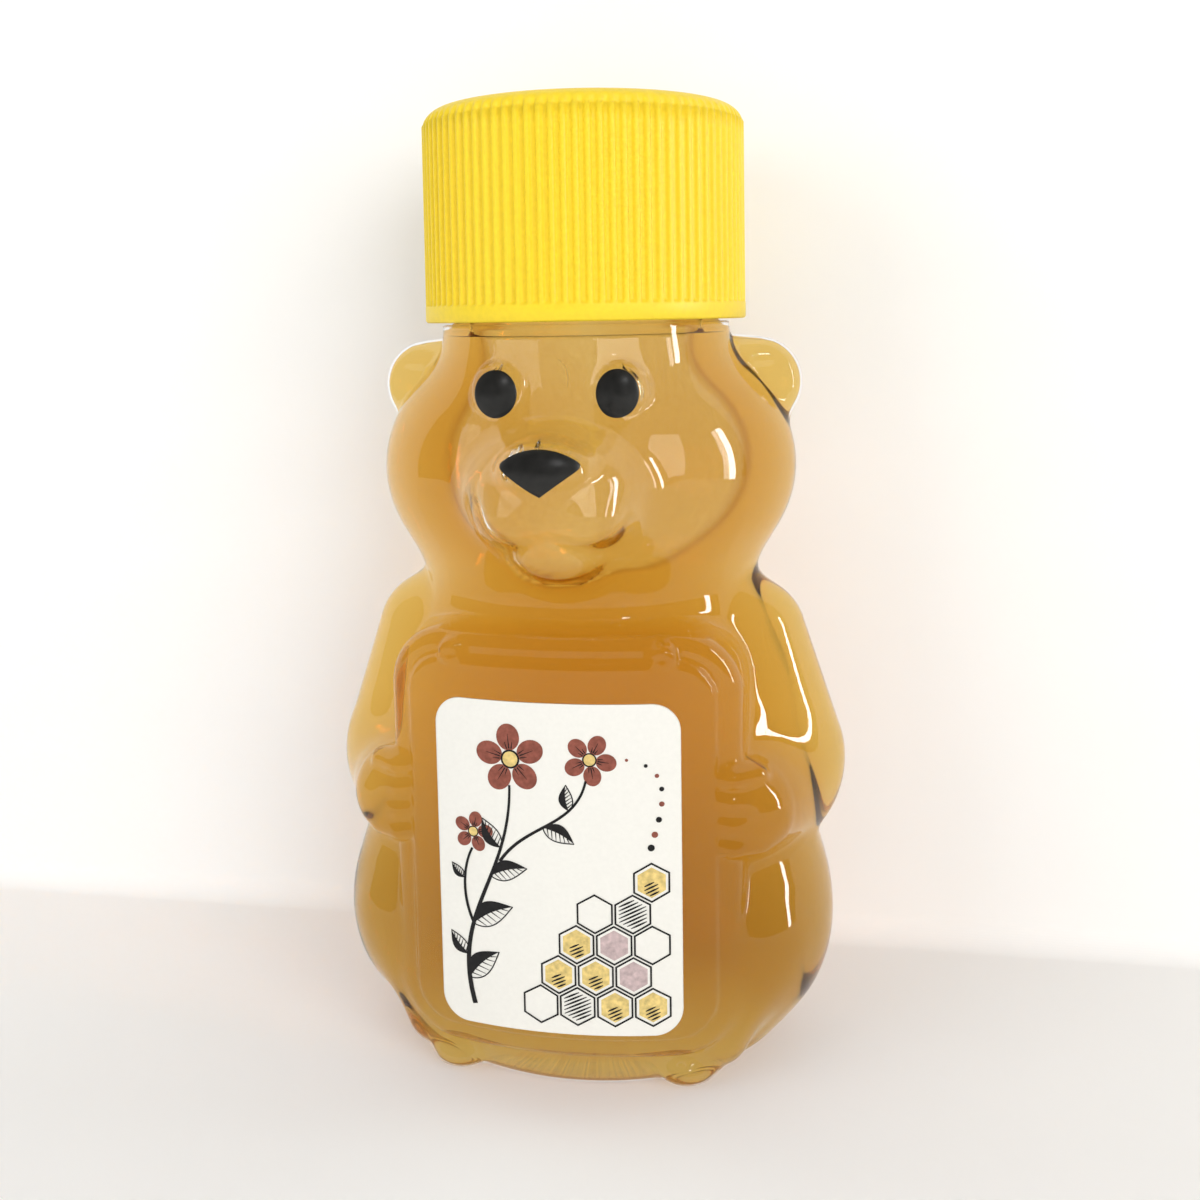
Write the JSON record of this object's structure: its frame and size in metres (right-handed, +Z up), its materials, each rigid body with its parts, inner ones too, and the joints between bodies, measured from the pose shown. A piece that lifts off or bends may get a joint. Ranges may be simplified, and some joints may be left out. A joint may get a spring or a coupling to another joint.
{
  "type": "honey bear bottle",
  "caption": "Small clear bear-shaped squeeze bottle filled with honey, with a ribbed yellow screw cap, a raised belly panel with a label, and printed eyes and nose.",
  "frame": {"origin": "centre of the neck axis on the flat base plane", "axes": "+Z up along the neck axis; the bear faces -Y; +X is to the right of someone looking at its face"},
  "size_m": [0.0422, 0.0353, 0.0764],
  "materials": {
    "clear_pet": "clear moulded gloss",
    "honey": "clear amber liquid",
    "cap_yellow": "satin moulded",
    "liner_foam": "fine foam",
    "label_paper": "coated paper",
    "black_ink": "printed ink"
  },
  "bodies": {
    "bottle": {"bear_bottle": "clear_pet", "honey_fill": "honey", "front_label": "label_paper", "left_eye": "black_ink", "right_eye": "black_ink", "nose_print": "black_ink"},
    "liner": {"cap_liner": "liner_foam"},
    "cap": {"screw_cap": "cap_yellow"}
  },
  "joints": [
    {"name": "cap_lift", "type": "slide", "parent": "bottle", "child": "liner", "axis": [0, 0, 1], "range_m": [0, 0.0192]},
    {"name": "cap_turn", "type": "hinge", "parent": "liner", "child": "cap", "pos_m": [0, 0, 0.0742], "axis": [0, 0, 1], "range_deg": [0, 2160]}
  ],
  "couplings": [
    {"joint": "cap_lift", "follows": "cap_turn", "m_per_rad": 0.00050532}
  ]
}
